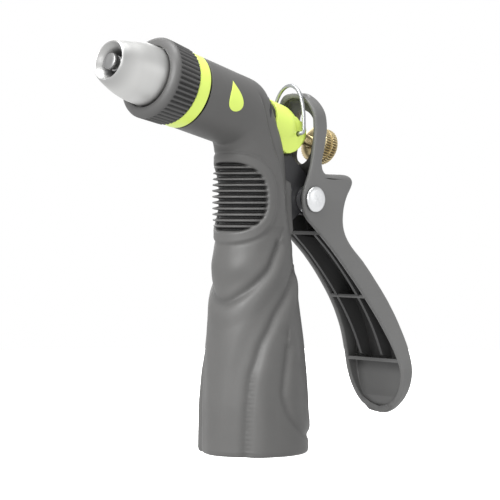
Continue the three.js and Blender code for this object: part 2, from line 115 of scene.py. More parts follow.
def make_light(name, place, aim, size, power):
    data = bpy.data.lights.new(name, "AREA")
    data.shape = "DISK"
    data.size = size
    data.energy = power
    lamp = bpy.data.objects.new(name, data)
    lamp.location = place
    direction = Vector(aim) - Vector(place)
    lamp.rotation_euler = direction.to_track_quat("-Z", "Y").to_euler()
    bpy.context.scene.collection.objects.link(lamp)


def make_lights():
    middle = (0, 0, 0.07)
    make_light("key_light", (-0.95, -0.05, 0.6), middle, 0.5, 12)
    make_light("front_light", (-0.75, -0.85, 0.3), middle, 0.5, 1.6)
    make_light("fill_light", (0.5, -0.95, 0.3), middle, 0.5, 0.5)
    make_light("top_light", (-0.1, 0.0, 1.1), middle, 0.7, 11)
    make_light("back_light", (0.5, 0.9, 0.5), middle, 0.8, 4)


def make_world():
    """White to the camera, and brighter from the sides and below than from above to the object."""
    world = bpy.data.worlds.new("studio")
    bpy.context.scene.world = world
    world.use_nodes = True
    nodes, links = world.node_tree.nodes, world.node_tree.links
    ambient = nodes["Background"]
    ambient.inputs["Color"].default_value = (1, 1, 1, 1)
    direction = nodes.new("ShaderNodeTexCoord")
    split = nodes.new("ShaderNodeSeparateXYZ")
    fall = nodes.new("ShaderNodeMapRange")
    fall.inputs["From Min"].default_value = -0.3
    fall.inputs["From Max"].default_value = 1.0
    fall.inputs["To Min"].default_value = 1.05
    fall.inputs["To Max"].default_value = 0.55
    links.new(direction.outputs["Generated"], split.inputs["Vector"])
    links.new(split.outputs["Z"], fall.inputs["Value"])
    links.new(fall.outputs["Result"], ambient.inputs["Strength"])
    seen = nodes.new("ShaderNodeBackground")
    seen.inputs["Color"].default_value = (1, 1, 1, 1)
    seen.inputs["Strength"].default_value = 1.0
    rays = nodes.new("ShaderNodeLightPath")
    mix = nodes.new("ShaderNodeMixShader")
    links.new(rays.outputs["Is Camera Ray"], mix.inputs["Fac"])
    links.new(ambient.outputs["Background"], mix.inputs[1])
    links.new(seen.outputs["Background"], mix.inputs[2])
    links.new(mix.outputs["Shader"], nodes["World Output"].inputs["Surface"])
    bpy.context.scene.view_settings.view_transform = "Standard"


def make_floor():
    """A white disc that glows a little and sends no light back to the object."""
    bm = bmesh.new()
    bmesh.ops.create_circle(bm, cap_ends=True, radius=0.45, segments=96)
    mesh = bpy.data.meshes.new("floor")
    bm.to_mesh(mesh)
    bm.free()
    floor = bpy.data.objects.new("floor", mesh)
    bpy.context.scene.collection.objects.link(floor)
    paper = plain_material("floor_paper", (0.95, 0.95, 0.95), 0.9)
    glow = paper.node_tree.nodes["Principled BSDF"]
    glow.inputs["Emission Color"].default_value = (1, 1, 1, 1)
    glow.inputs["Emission Strength"].default_value = 0.8
    mesh.materials.append(paper)
    floor.visible_diffuse = False
    floor.visible_glossy = False


# ---- materials ----
def new_material(name, color, roughness, metallic=0.0):
    made = bpy.data.materials.new(name)
    made.use_nodes = True
    shader = made.node_tree.nodes["Principled BSDF"]
    shader.inputs["Base Color"].default_value = (*color, 1)
    shader.inputs["Roughness"].default_value = roughness
    shader.inputs["Metallic"].default_value = metallic
    return made, shader


def plain_material(name, color, roughness):
    made, shader = new_material(name, color, roughness)
    mottle(made, shader, color, 0.01, 3)
    return made


def noise(made, scale, detail=3, stretch=None):
    """A noise in object space. stretch scales the axes after turning X onto the barrel axis."""
    nodes, links = made.node_tree.nodes, made.node_tree.links
    place = nodes.new("ShaderNodeTexCoord")
    texture = nodes.new("ShaderNodeTexNoise")
    texture.inputs["Scale"].default_value = scale
    texture.inputs["Detail"].default_value = detail
    if stretch:
        mapping = nodes.new("ShaderNodeMapping")
        mapping.inputs["Rotation"].default_value = (0, -math.atan2(-REAR.z, REAR.x), 0)
        mapping.inputs["Scale"].default_value = stretch
        links.new(place.outputs["Object"], mapping.inputs["Vector"])
        links.new(mapping.outputs["Vector"], texture.inputs["Vector"])
    else:
        links.new(place.outputs["Object"], texture.inputs["Vector"])
    return texture.outputs["Fac"]


def ranged(made, value, low, high):
    """Maps a noise's middle range onto low to high."""
    node = made.node_tree.nodes.new("ShaderNodeMapRange")
    node.inputs["From Min"].default_value = 0.3
    node.inputs["From Max"].default_value = 0.7
    node.inputs["To Min"].default_value = low
    node.inputs["To Max"].default_value = high
    made.node_tree.links.new(value, node.inputs["Value"])
    return node.outputs["Result"]


def mottle(made, shader, color, amount, scale, stretch=None):
    """Varies the colour a little, lighter and darker than its mean."""
    nodes, links = made.node_tree.nodes, made.node_tree.links
    mix = nodes.new("ShaderNodeMix")
    mix.data_type = "RGBA"
    mix.inputs["A"].default_value = (*[c * (1 - amount) for c in color], 1)
    mix.inputs["B"].default_value = (*[min(c * (1 + amount), 1) for c in color], 1)
    links.new(ranged(made, noise(made, scale, 4, stretch), 0, 1), mix.inputs["Factor"])
    links.new(mix.outputs["Result"], shader.inputs["Base Color"])


def roughen(made, shader, low, high, scale, stretch=None):
    value = ranged(made, noise(made, scale, 4, stretch), low, high)
    made.node_tree.links.new(value, shader.inputs["Roughness"])


def grain(made, shader, scale, depth, stretch=None):
    """Fine bumps, depth in metres."""
    nodes, links = made.node_tree.nodes, made.node_tree.links
    bump = nodes.new("ShaderNodeBump")
    bump.inputs["Distance"].default_value = depth
    bump.inputs["Strength"].default_value = 1.0
    links.new(noise(made, scale, 2, stretch), bump.inputs["Height"])
    links.new(bump.outputs["Normal"], shader.inputs["Normal"])


def finish(name, color, roughness, metallic=0.0, spread=0.06, grain_scale=2500, grain_depth=0.00003,
           stretch=None):
    """A moulded, painted or turned surface: colour, gloss and relief all vary a little."""
    made, shader = new_material(name, color, roughness, metallic)
    mottle(made, shader, color, spread, 60, stretch)
    roughen(made, shader, roughness - 0.06, roughness + 0.06, 140, stretch)
    grain(made, shader, grain_scale, grain_depth, stretch)
    return made


def paint_marked_shade(made, amount):
    """Paints shade into the colour: scales it down by amount where the mesh attribute "inside" is 1."""
    nodes, links = made.node_tree.nodes, made.node_tree.links
    shader = nodes["Principled BSDF"]
    colour = shader.inputs["Base Color"].links[0].from_socket
    marked = nodes.new("ShaderNodeAttribute")
    marked.attribute_name = "inside"
    mix = nodes.new("ShaderNodeMix")
    mix.data_type = "RGBA"
    mix.inputs["B"].default_value = (amount, amount, amount, 1)
    links.new(marked.outputs["Fac"], mix.inputs["Factor"])
    links.new(colour, mix.inputs["A"])
    links.new(mix.outputs["Result"], shader.inputs["Base Color"])


def make_materials():
    turned = (1.0, 0.02, 0.02)
    made = {
        "grip": finish("grip_rubber", (0.088, 0.087, 0.085), 0.5, spread=0.05),
        "lever": finish("lever_paint", (0.135, 0.135, 0.133), 0.45, spread=0.04, grain_depth=0.00001),
        "collar": finish("collar_plastic", (0.08, 0.079, 0.078), 0.5),
        "lime": finish("lime_plastic", (0.68, 0.84, 0.15), 0.35, spread=0.03, grain_depth=0.00001),
        "nose": finish("satin_nose", (0.62, 0.62, 0.61), 0.46, 1.0, 0.06, 2600, 0.00001, turned),
        # pin: a darker copy of the satin metal, painted shade for the dark reflection on the pin's face.
        "pin": finish("shaded_pin_metal", (0.3, 0.3, 0.3), 0.42, 1.0),
        "steel": finish("bright_steel", (0.78, 0.79, 0.8), 0.3, 1.0),
        "wire": finish("plated_wire", (0.4, 0.41, 0.42), 0.4, 1.0),
        "brass": finish("turned_brass", (0.66, 0.54, 0.3), 0.38, 1.0, 0.05),
        "casting": finish("dark_casting", (0.03, 0.03, 0.032), 0.5, 0.2, 0.15),
        "seal": finish("seal_rubber", (0.02, 0.02, 0.02), 0.7),
    }
    # Painted shade: the colour is mixed down towards these values where the attribute "inside" marks
    # hollows, gaps, grooves and the nose's throat and tip.
    paint_marked_shade(made["lever"], 0.04)
    paint_marked_shade(made["grip"], 0.02)
    paint_marked_shade(made["collar"], 0.02)
    paint_marked_shade(made["brass"], 0.12)
    paint_marked_shade(made["nose"], 0.25)
    return made


# ---- mesh making ----
def keep(name, points, faces, finish_name, body, slot, nodes=(), sharp=None, inside=None):
    """Makes an object, welds and faces it outwards, and says where it belongs."""
    mesh = bpy.data.meshes.new(name)
    mesh.from_pydata([tuple(p) for p in points], [], faces)
    # inside is painted shade, kept as the point attribute "inside".
    if inside is not None:
        mesh.attributes.new("inside", "FLOAT", "POINT").data.foreach_set("value", inside.ravel())
    piece = bpy.data.objects.new(name, mesh)
    bpy.context.scene.collection.objects.link(piece)
    tidy(mesh, sharp)
    return belongs(piece, finish_name, body, nodes)


def tidy(mesh, sharp=None):
    bm = bmesh.new()
    bm.from_mesh(mesh)
    bmesh.ops.remove_doubles(bm, verts=bm.verts, dist=0.000004)
    bmesh.ops.dissolve_degenerate(bm, edges=bm.edges, dist=0.000002)
    bmesh.ops.recalc_face_normals(bm, faces=bm.faces)
    bm.to_mesh(mesh)
    bm.free()
    mesh.polygons.foreach_set("use_smooth", [True] * len(mesh.polygons))
    if sharp:
        mesh.set_sharp_from_angle(angle=math.radians(sharp))


def belongs(piece, finish_name, body, nodes=()):
    piece.data.materials.clear()
    piece.data.materials.append(MATERIALS[finish_name])
    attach(piece, body)
    if nodes:
        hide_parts(*nodes)
    return piece


def grid_faces(rows, columns, wrap_rows, wrap_columns, first=0):
    faces = []
    for row in range(rows if wrap_rows else rows - 1):
        a = first + row * columns
        b = first + (row + 1) % rows * columns
        for i in range(columns if wrap_columns else columns - 1):
            j = (i + 1) % columns
            faces.append((a + i, a + j, b + j, b + i))
    return faces


def grid_piece(name, points, wrap_rows, wrap_columns, *where, **options):
    rows, columns = points.shape[:2]
    faces = grid_faces(rows, columns, wrap_rows, wrap_columns)
    return keep(name, points.reshape(-1, 3), faces, *where, **options)


def spline(points, count):
    """A smooth curve through given points, evenly spaced along its length."""
    points = np.asarray(points, float)
    ends = np.vstack([2 * points[0] - points[1], points, 2 * points[-1] - points[-2]])
    t = np.linspace(0, 1, 24, endpoint=False)[:, None]
    parts = []
    for a, b, c, d in zip(ends, ends[1:], ends[2:], ends[3:]):
        parts.append(0.5 * (2 * b + (c - a) * t + (2 * a - 5 * b + 4 * c - d) * t**2
                            + (3 * b - a - 3 * c + d) * t**3))
    dense = np.vstack([*parts, points[-1:]])
    length = np.r_[0, np.cumsum(np.linalg.norm(np.diff(dense, axis=0), axis=1))]
    wanted = np.linspace(0, length[-1], count)
    return np.stack([np.interp(wanted, length, column) for column in dense.T], -1)


def smooth_step(value, low, high):
    t = np.clip((value - low) / (high - low), 0, 1)
    return t * t * (3 - 2 * t)


def rounded(profile, radius, steps=4):
    """Rounds every corner of a closed [station, radius] profile, by radius or less."""
    points = [np.array(p, float) for p in profile]
    out = []
    for before, here, after in zip(points[-1:] + points, points, points[1:] + points[:1]):
        if here[1] <= 0:
            out.append(here)
            continue
        back, ahead = before - here, after - here
        cut = min(radius, np.linalg.norm(back) * 0.45, np.linalg.norm(ahead) * 0.45)
        start = here + back / np.linalg.norm(back) * cut
        end = here + ahead / np.linalg.norm(ahead) * cut
        for t in np.linspace(0, 1, steps + 1):
            out.append((1 - t)**2 * start + 2 * t * (1 - t) * here + t**2 * end)
    return np.array(out)


def lathe_points(profile, columns, relief=None):
    """Revolves a profile about the barrel axis. relief(station, angle) adds to the radius."""
    angle = np.linspace(0, 2 * np.pi, columns, endpoint=False)[None, :]
    station = profile[:, 0][:, None] + 0 * angle
    radius = profile[:, 1][:, None] + 0 * angle
    if relief:
        radius = radius + relief(station, angle, radius)
    return barrel_points(station, radius * np.sin(angle), radius * np.cos(angle))


def lathe(name, profile, corner, *where, columns=96, relief=None, shade=0.0, **options):
    """Turned piece. shade paints shade into its colour where relief cuts in, per millimetre."""
    profile = rounded(profile, corner) if corner else np.array(profile, float)
    closed = profile[0][1] > 0
    points = lathe_points(profile, columns, relief)
    if shade:
        cut = lathe_points(profile, columns) - points
        options["inside"] = np.clip(np.linalg.norm(cut, axis=-1) / MM * shade, 0, 1)
    return grid_piece(name, points, closed, True, *where, **options)


def capped_faces(rows, columns):
    faces = grid_faces(rows, columns, False, True)
    faces.append(tuple(range(columns)))
    faces.append(tuple(range((rows - 1) * columns, rows * columns)))
    return faces


# ---- grip cover ----
# Height on the handle, then its middle X, half length in X and half width in Y.
HANDLE_SECTIONS = np.array([
    [0, 0, 18.0, 18.0],
    [0.5, 0, 18.55, 18.55],
    [1.5, 0, 18.75, 18.75],
    [8, 0, 18.62, 18.62],
    [17, 0, 18.5, 18.5],
    [26, 0, 17.9, 17.9],
    [38, 0, 16.8, 16.8],
    [50, 0, 15.2, 15.2],
    [60, 0, 14.0, 14.0],
    [67, -0.1, 13.5, 13.5],
    [74, -0.8, 12.6, 12.6],
    [80, -1.4, 12.6, 12.6],
    [88, -1.6, 12.6, 12.5],
    [95, -1.6, 12.1, 12.1],
    [100, -1.9, 11.7, 11.7],
])
BEND_CENTRE = np.array([-15.5, 101.0])  # the elbow turns about this point, in side coordinates
BEND_ANGLE = math.pi / 2 - math.asin(-REAR.z)
# Angle round the elbow in degrees, distance to its inner side, to its outer side, half width.
ELBOW_SECTIONS = np.array([
    [0, 1.6, 25.3, 11.7],
    [8, 1.5, 24.3, 11.7],
    [19, 1.7, 23.8, 11.7],
    [30, 1.9, 24.1, 11.7],
    [43, 2.2, 25.2, 11.8],
    [53, 2.5, 26.8, 11.9],
    [61, 2.6, 27.6, 12.0],
    [75, 2.8, 27.0, 12.1],
])
COVER_COLUMNS = 264
COVER_WALL = 3.2
HANDLE_MEAN_R = 16


def read_sections(table, at):
    return [np.interp(at, table[:, 0], table[:, k]) for k in (1, 2, 3)]


def handle_rows():
    rim_top, ribs_low, handle_top = 2, 71, 100
    heights = np.r_[
        np.arange(0, rim_top, 0.25),
        np.arange(rim_top, ribs_low, 0.55),
        np.arange(ribs_low, handle_top, 0.2),
        handle_top,
    ]
    middle, length, width = read_sections(HANDLE_SECTIONS, heights)
    return np.stack([middle, heights, 1 + 0 * heights, 0 * heights, length, width], -1)


def elbow_rows():
    angles = np.linspace(2, math.degrees(BEND_ANGLE), 84)
    inner, outer, half = read_sections(ELBOW_SECTIONS, angles)
    turn = np.stack([np.cos(np.radians(angles)), np.sin(np.radians(angles))], -1)
    centre = BEND_CENTRE + turn * ((inner + outer) / 2)[:, None]
    return np.column_stack([centre, turn, (outer - inner) / 2, half])


def barrel_rows():
    bend_station = BEND_CENTRE[0] * REAR.x + (BARREL_ORIGIN.z - BEND_CENTRE[1]) * -REAR.z
    stations = np.linspace(bend_station - 0.5, COVER_FRONT + 0.4, 44)
    radius = np.interp(stations, [-32, -22, -12], [12.45, 12.3, 12.1])
    x = stations * REAR.x
    z = BARREL_ORIGIN.z + stations * REAR.z
    return np.column_stack([x, z, 0 * x + UP.x, 0 * x + UP.z, radius, radius])


def section_rows():
    """Centre, in-plane direction, half length and half width of each cross-section of the cover."""
    return soften_rows(np.vstack([handle_rows(), elbow_rows(), barrel_rows()]))


def soften_rows(rows):
    """Evens out the change from handle to elbow to barrel, leaving the base rim sharp."""
    passes, last_sharp_row, first_even_row = 40, 10, 60
    even = rows.copy()
    for _ in range(passes):
        even[1:-1] = (even[:-2] + 2 * even[1:-1] + even[2:]) / 4
    weight = smooth_step(np.arange(len(rows)), last_sharp_row, first_even_row)[:, None]
    return rows * (1 - weight) + even * weight


# The ribbed window and the raised pad round it: angles in degrees, heights in millimetres.
WINDOW = {"half_angle": 75.5, "middle": 86.1, "half_height": 12, "power": 2.5}
PAD = {"half_angle": 92, "middle": 86.2, "half_height": 15.8, "power": 2.3}
PAD_RISE = 0.45
RIB_PITCH = 1.965
RIB_LINE = 96  # height of one rib's crest, which the others are counted from
RIB_DEPTH = 2.2
RIM_GROOVE = 0.5  # depth of the groove along the window's edge
SWELL_RISE = 1.0
SWELL_HEIGHT = 62.5
BOSS_RISE = 2.2


def oval_depth(angle, height, oval):
    """How far inside a rounded oval on the nozzle side a point is, in millimetres, below 0 outside."""
    power = oval["power"]
    along = np.abs(angle - 180) / oval["half_angle"]
    up = np.abs(height - oval["middle"]) / oval["half_height"]
    return (1 - (along**power + up**power)**(1 / power)) * oval["half_height"]


# Swirl grooves of the handle. Each route is an angle round it in degrees (180 is the nozzle side,
# 270 the near side) and a height.
SWIRLS = [
    [(268, 70), (257, 66), (246, 61.5), (221, 55.7), (194, 51.5), (180, 50.6)],
    [(322, 62), (304, 60), (286, 56.7), (270, 51.8), (255, 47), (245, 42), (235, 37), (228, 31),
     (223, 25.8), (219, 14), (217, -2)],
    [(268, 36), (265, 31), (261, 25.5), (259, 20.6), (262, 17), (268, 13), (281, 9), (297, 6.5),
     (330, 5.6)],
]
SWIRL_WIDTHS = (1.7, 1.7, 1.3)
SWIRL_DEPTHS = (1.2, 1.1, 0.8)
SWIRL_STEPS = (0.35, 0.5, 0.35)


def groove(angle, height, route, width, depth, step):
    """A soft groove along a route, and a slight step down on its lower side."""
    curve = spline(route, 90)
    near_angle = np.where(angle < 180, 360 - angle, angle)
    scale = math.radians(1) * HANDLE_MEAN_R
    offset_a = (near_angle[..., None] - curve[:, 0]) * scale
    offset_z = height[..., None] - curve[:, 1]
    square = offset_a**2 + offset_z**2
    nearest = square.argmin(-1)
    distance = np.sqrt(square.min(-1))
    tangent = np.gradient(curve * [scale, 1], axis=0)
    pick = tangent[nearest]
    take = np.take_along_axis
    da = take(offset_a, nearest[..., None], -1)[..., 0]
    dz = take(offset_z, nearest[..., None], -1)[..., 0]
    side = np.sign(pick[..., 0] * dz - pick[..., 1] * da)
    fade = 1 - smooth_step(distance, 4, 9)
    return -depth * np.exp(-(distance / width)**2) + step * side * fade * (1 - np.exp(-distance / 1.5))


def window_ribs(angle, height):
    """How deep the window is cut, and how much painted shade darkens it, at each point."""
    depth = oval_depth(angle, height, WINDOW)
    wave = 0.5 - 0.5 * np.cos(2 * np.pi * (height - RIB_LINE) / RIB_PITCH)
    cut = np.clip(wave * 1.7 - 0.3, 0, 1) * smooth_step(depth, 0.1, 1.0)
    edge = RIM_GROOVE * np.exp(-((depth - 0.5) / 0.5)**2)
    return RIB_DEPTH * cut + edge, np.clip(cut * 1.3, 0, 1)


def handle_relief(angle, height):
    """Height of the moulded detail above the plain handle, in millimetres, and how much painted shade
    darkens it.
    """
    pad = oval_depth(angle, height, PAD)
    cut, shade = window_ribs(angle, height)
    relief = PAD_RISE * smooth_step(pad, -0.2, 1.0) - 0.25 * np.exp(-((pad + 0.5) / 0.6)**2) - cut
    below_pad = height < 76
    for route, width, deep, step in zip(SWIRLS, SWIRL_WIDTHS, SWIRL_DEPTHS, SWIRL_STEPS):
        swirl = np.where(below_pad, groove(angle, height, route, width, deep, step), 0)
        relief += swirl
        # Painted shade in the bottom of each groove.
        shade += 0.3 * np.clip(-swirl - step, 0, 1)
    off_middle = np.abs(angle - 180) - 20
    swell = np.exp(-((height - SWELL_HEIGHT) / 4.6)**2) * np.exp(-(off_middle / 48)**2)
    relief += SWELL_RISE * swell * (1 - smooth_step(pad, -3, 0))
    from_rear = np.minimum(angle, 360 - angle)
    boss = (1 - smooth_step(from_rear, 24, 33)) * smooth_step(height, 71, 75)
    boss *= 1 - smooth_step(height, 90.5, 92.5)
    return relief + BOSS_RISE * boss, shade


def cover_ring(rows, phi, relief):
    """Points of cross-sections, each an ellipse in its own plane, raised by relief."""
    plane = (rows[:, 4:5] + relief) * np.cos(phi)
    return side_points(
        rows[:, 0:1] + rows[:, 2:3] * plane,
        (rows[:, 5:6] + relief) * np.sin(phi),
        rows[:, 1:2] + rows[:, 3:4] * plane,
    )


def grip_cover():
    rows = section_rows()
    phi = np.linspace(0, 2 * np.pi, COVER_COLUMNS, endpoint=False)[None, :]
    height = rows[:, 1:2] + 0 * phi
    upright = (1 - smooth_step(height, 99, 103)) * (rows[:, 3:4] < 0.3)
    relief, shade = handle_relief(np.degrees(phi) + 0 * rows[:, :1], height)
    outer = cover_ring(rows, phi, relief * upright)
    outer[..., 1] += crease(outer) * np.sin(phi) * MM
    outer = recess(outer)
    inner = cover_ring(rows[::6], phi, -COVER_WALL)
    points = np.concatenate([outer, inner[::-1]])
    # The rib gaps and groove bottoms carry painted shade, through the attribute "inside".
    shade = np.concatenate([shade * upright, np.zeros(inner.shape[:2])])
    grid_piece("grip_shell", points, True, True, "grip", "body", "grip_rubber", nodes=["grip_cover"],
               inside=shade)


# Side view of the crease on the elbow, in side coordinates, from the top down.
CREASE = [(-9, 122), (-6, 116), (-4, 109.5), (-1.5, 103), (1.6, 96.5), (3.6, 88.5), (4.2, 80)]
CREASE_STEP = 1.3
CREASE_LINE = 0.9


def crease(points):
    """A soft step where the side of the elbow turns to its rear, in millimetres."""
    x, z = points[..., 0] / MM - HANDLE_X, points[..., 2] / MM
    route = spline(CREASE, 60)
    offset_x = x[..., None] - route[:, 0]
    offset_z = z[..., None] - route[:, 1]
    distance = np.sqrt((offset_x**2 + offset_z**2).min(-1))
    behind = x - np.interp(z, route[::-1, 1], route[::-1, 0])
    step = CREASE_STEP * smooth_step(behind, -0.3, 0.7) * (1 - smooth_step(behind, 3, 10))
    line = CREASE_LINE * np.exp(-(distance / 0.6)**2)
    fade = smooth_step(z, 76, 84) * (1 - smooth_step(z, 114, 122))
    return -(step + line) * fade


def recess(points):
    """Flattens the rear of the elbow round the packing nut."""
    station, y, up = to_barrel(points)
    flat_radius, lowest = 8.5, 95 * MM
    inside = (np.hypot(y, up) < flat_radius) & (station > COVER_REAR) & (points[..., 2] > lowest)
    station = np.where(inside, COVER_REAR, station)
    return barrel_points(station, y, up)


# ---- squeeze lever ----
# Side view in side coordinates, from the top of the hoop to the tail: the open front edge, then
# the back of the web with the thumb hook.
LEVER_FRONT = [
    (17.9, 121.6), (19.3, 117.5), (20.1, 112), (20.1, 107), (18.9, 98.8), (17.4, 94), (15.2, 89),
    (14.3, 85.4), (15.0, 81), (17.4, 78), (20.7, 75.4), (29.9, 67.7), (37, 60.6), (43.3, 53.5),
    (48.9, 46.3), (53.5, 39.1), (57.1, 31.9), (59.6, 25), (61, 18), (61.8, 12), (62.4, 8.4),
]
LEVER_BACK = [
    (21, 121.6), (22.8, 120.4), (24.4, 118.2), (26, 114.2), (26.6, 110), (26.2, 106.4), (24.9, 101),
    (24.1, 98), (24.4, 95.6), (25.8, 94.1), (28.4, 93.7), (32.5, 93.7), (36.2, 93.5), (38.4, 92.6),
    (39.2, 90.9), (38.4, 88.8), (36.9, 86.6), (35.5, 83.6), (34.8, 80), (35, 76.6), (36.4, 73),
    (39.4, 69.2), (46, 63.2), (51.4, 57), (56.8, 50), (61, 42.6), (63.95, 35), (65.5, 28),
    (66.0, 22), (65.75, 16), (64.85, 11.4), (63.8, 8.4),
]
# Front view: height and half width, between the hoop's round top and the tail's round end.
LEVER_WIDTH = [
    (113, CHEEK_HALF), (84, CHEEK_HALF), (79, 9.35), (74, 9.0), (66, 8.6), (61, 8.7), (57, 9.0),
    (51, 9.5), (46.3, 10.1), (39, 11.35), (32, 12.9), (28, 13.6), (25, 13.9),
]
HOOP_TOP = 121.6
HOOP_SPRING = 113.0  # the hoop's round top starts here
TAIL_SPRING = 25.0  # and the tail's round end here
TAIL_END = 8.4
TAIL_LIP = 2.6  # height of the solid lip below the hollow
LIP = 0.8  # roundness of the front edge
CORNER = 1.7  # outside radius between cheeks and web
INNER_CORNER = 0.5
CROWN = 0.2  # swell of the web's back
SHALLOWEST = 1.6  # depth of the hollow where the lever is too thin for its full wall
LEVER_ROWS = 360
CROSS_RIBS = (73.6, 51.0, 27.8)
LONG_RIBS = (-5.0, 5.0)
RIB_HALF = 0.55
CROSS_RIB_HALF = 0.6


def lever_half_width(z, inset=0.0):
    """Half width of the lever at a height, or of its hollow when inset is the wall's thickness."""
    table = np.array(LEVER_WIDTH[::-1])
    width = np.interp(z, table[:, 0], table[:, 1]) - inset
    top = HOOP_TOP - inset - HOOP_SPRING
    low = TAIL_SPRING - TAIL_END - (TAIL_LIP if inset else 0)
    above = np.clip((z - HOOP_SPRING) / top, 0, 1)
    below = np.clip((TAIL_SPRING - z) / low, 0, 1)
    return width * np.sqrt(np.maximum(1 - above**2, 0)) * np.sqrt(np.maximum(1 - below**2, 0))


def lever_rows(count):
    """Matching points of the front edge and of the back, with the back's outward direction.

    The rows lie closer together towards both ends, where the outline turns fastest.
    """
    front = spline(LEVER_FRONT, 1200)
    back = spline(LEVER_BACK, 1200)
    even = np.linspace(0, 1, count)
    share = 0.3 * even + 0.35 * (1 - np.cos(np.pi * even))
    pick = share * (len(back) - 1)
    index = np.arange(len(back))
    back = np.stack([np.interp(pick, index, back[:, k]) for k in (0, 1)], -1)
    ahead = np.gradient(back, axis=0)
    ahead /= np.linalg.norm(ahead, axis=1)[:, None]
    outward = np.stack([-ahead[:, 1], ahead[:, 0]], -1)
    return match_front(back, front), back, outward


def match_front(back, front):
    """Front-edge points level with the back's, but spread out where the back runs level."""
    order = np.arange(len(back)) / (len(back) - 1)
    level = np.minimum.accumulate(back[:, 1])
    spread = np.interp(order, [0, 1], [HOOP_TOP, TAIL_END])
    height = level.copy()
    passes = 60
    for _ in range(passes):
        height[1:-1] = (height[:-2] + 2 * height[1:-1] + height[2:]) / 4
    height = np.minimum.accumulate(0.94 * height + 0.06 * spread)
    height[0], height[-1] = HOOP_TOP, TAIL_END
    order_front = np.argsort(front[:, 1])
    return np.stack([np.interp(height, front[order_front, 1], front[order_front, 0]), height], -1)


def lever_skin(count, inset):
    """Points of the U-shaped skin, row by row from one lip round the web to the other lip."""
    front, back, outward = lever_rows(count)
    if inset:
        back = back - outward * (inset + 0.3)
        front, back = pull_ends(front, back, inset)
    corner = INNER_CORNER if inset else CORNER
    corner = np.minimum(corner, 0.6 * lever_half_width(back[:, 1], inset))[:, None]
    cheek = np.linspace(0, 1, 14)[:, None, None]
    start = back - outward * corner
    ahead = start - front
    front = front + ahead / np.maximum(np.linalg.norm(ahead, axis=1), 0.5)[:, None] * LIP
    side = front + (start - front) * cheek
    side_half = lever_half_width(side[..., 1], inset)
    bend = np.linspace(0, np.pi / 2, 6)[1:, None]
    bend_xz = start + outward * corner * np.sin(bend)[..., None]
    bend_half = lever_half_width(start[:, 1], inset) - corner[:, 0] * (1 - np.cos(bend))
    bend_half = np.maximum(bend_half, 0)
    web_half = bend_half[-1]
    across = np.linspace(1, -1, 17)[1:-1, None]
    crown = (0 if inset else CROWN) * (1 - across**2) * np.clip(web_half / 8, 0, 1)
    web_xz = back + outward * crown[..., None]
    web_y = across * web_half[None]
    xz = np.concatenate([side, bend_xz, web_xz, bend_xz[::-1], side[::-1]])
    y = np.concatenate([side_half, bend_half, web_y, -bend_half[::-1], -side_half[::-1]])
    return np.swapaxes(np.stack([xz[..., 0], y, xz[..., 1]], -1), 0, 1)


def lever_lip(first, last, ahead):
    """Rounds the front edge from one skin's last point to the other skin's first."""
    turn = np.linspace(0, np.pi, 7)[1:-1]
    share = ((1 - np.cos(turn)) / 2)[None, :, None]
    bulge = (np.sin(turn) * LIP)[None, :, None]
    return first[:, None] + (last - first)[:, None] * share + ahead[:, None] * bulge


def pull_ends(front, back, inset):
    """Moves both lines of the hollow in from the hoop's roof and from the tail's lip."""
    z = front[:, 1]
    roof = smooth_step(z, HOOP_SPRING, HOOP_TOP)
    tail = 1 - smooth_step(z, TAIL_END, TAIL_SPRING)
    front_z = z - inset * roof + TAIL_LIP * tail
    front_x = np.interp(front_z, z[::-1], front[::-1, 0])
    back_z = back[:, 1] + (front_z - back[:, 1]) * np.maximum(roof, tail)
    back_x = np.maximum(back[:, 0], front_x + SHALLOWEST)
    return np.stack([front_x, front_z], -1), np.stack([back_x, back_z], -1)


def prism_faces(count):
    """Sides and ends between two matching rings of count points."""
    faces = [(i, (i + 1) % count, (i + 1) % count + count, i + count) for i in range(count)]
    faces += [tuple(range(count)), tuple(range(2 * count - 1, count - 1, -1))]
    return faces


def lever_plate(outline, y0, y1):
    """A rib of the lever: a flat outline in side coordinates with thickness in Y."""
    x, z = np.array(outline, float).T
    points = np.concatenate([side_points(x, 0 * x + y, z) for y in (y0, y1)])
    return points, prism_faces(len(x))


def bare_object(name, points, faces):
    mesh = bpy.data.meshes.new(name)
    mesh.from_pydata([tuple(p) for p in points], [], faces)
    tidy(mesh)
    made = bpy.data.objects.new(name, mesh)
    bpy.context.scene.collection.objects.link(made)
    return made


def combine(target, tools, operation):
    """Applies a boolean of each tool to target and removes the tools."""
    for tool in tools:
        step = target.modifiers.new("boolean", "BOOLEAN")
        step.operation = operation
        step.solver = "EXACT"
        step.object = tool
    bake(target)
    for tool in tools:
        bpy.data.objects.remove(tool)


def bake(piece):
    """Makes the piece's modifiers part of its mesh."""
    bpy.context.view_layer.update()
    result = bpy.data.meshes.new_from_object(piece.evaluated_get(bpy.context.evaluated_depsgraph_get()))
    piece.modifiers.clear()
    piece.data = result


def lever_ribs():
    front, back, _ = lever_rows(400)
    ribs = []
    inside = (front[:, 1] < CROSS_RIBS[0] - 0.2) & (front[:, 1] > CROSS_RIBS[-1] + 0.1)
    into_edge, into_web = 0.3, 1.2
    edge = front[inside] + [into_edge + 0.05, 0]
    web = back[inside] - [into_web + 0.4, 0]
    outline = np.concatenate([edge[::6], web[::-6]])
    for k, y in enumerate(LONG_RIBS):
        ribs.append(bare_object(f"long_rib_{k}", *lever_plate(outline, y - RIB_HALF, y + RIB_HALF)))
    for k, z in enumerate(CROSS_RIBS):
        x_front = np.interp(z, front[::-1, 1], front[::-1, 0]) + into_edge
        x_back = np.interp(z, back[::-1, 1], back[::-1, 0]) - into_web
        half = float(lever_half_width(np.array(z), 0.8))
        low, high = z - CROSS_RIB_HALF, z + CROSS_RIB_HALF
        outline = [(x_front, low), (x_front, high), (x_back, high), (x_back, low)]
        ribs.append(bare_object(f"cross_rib_{k}", *lever_plate(outline, -half, half)))
    return ribs


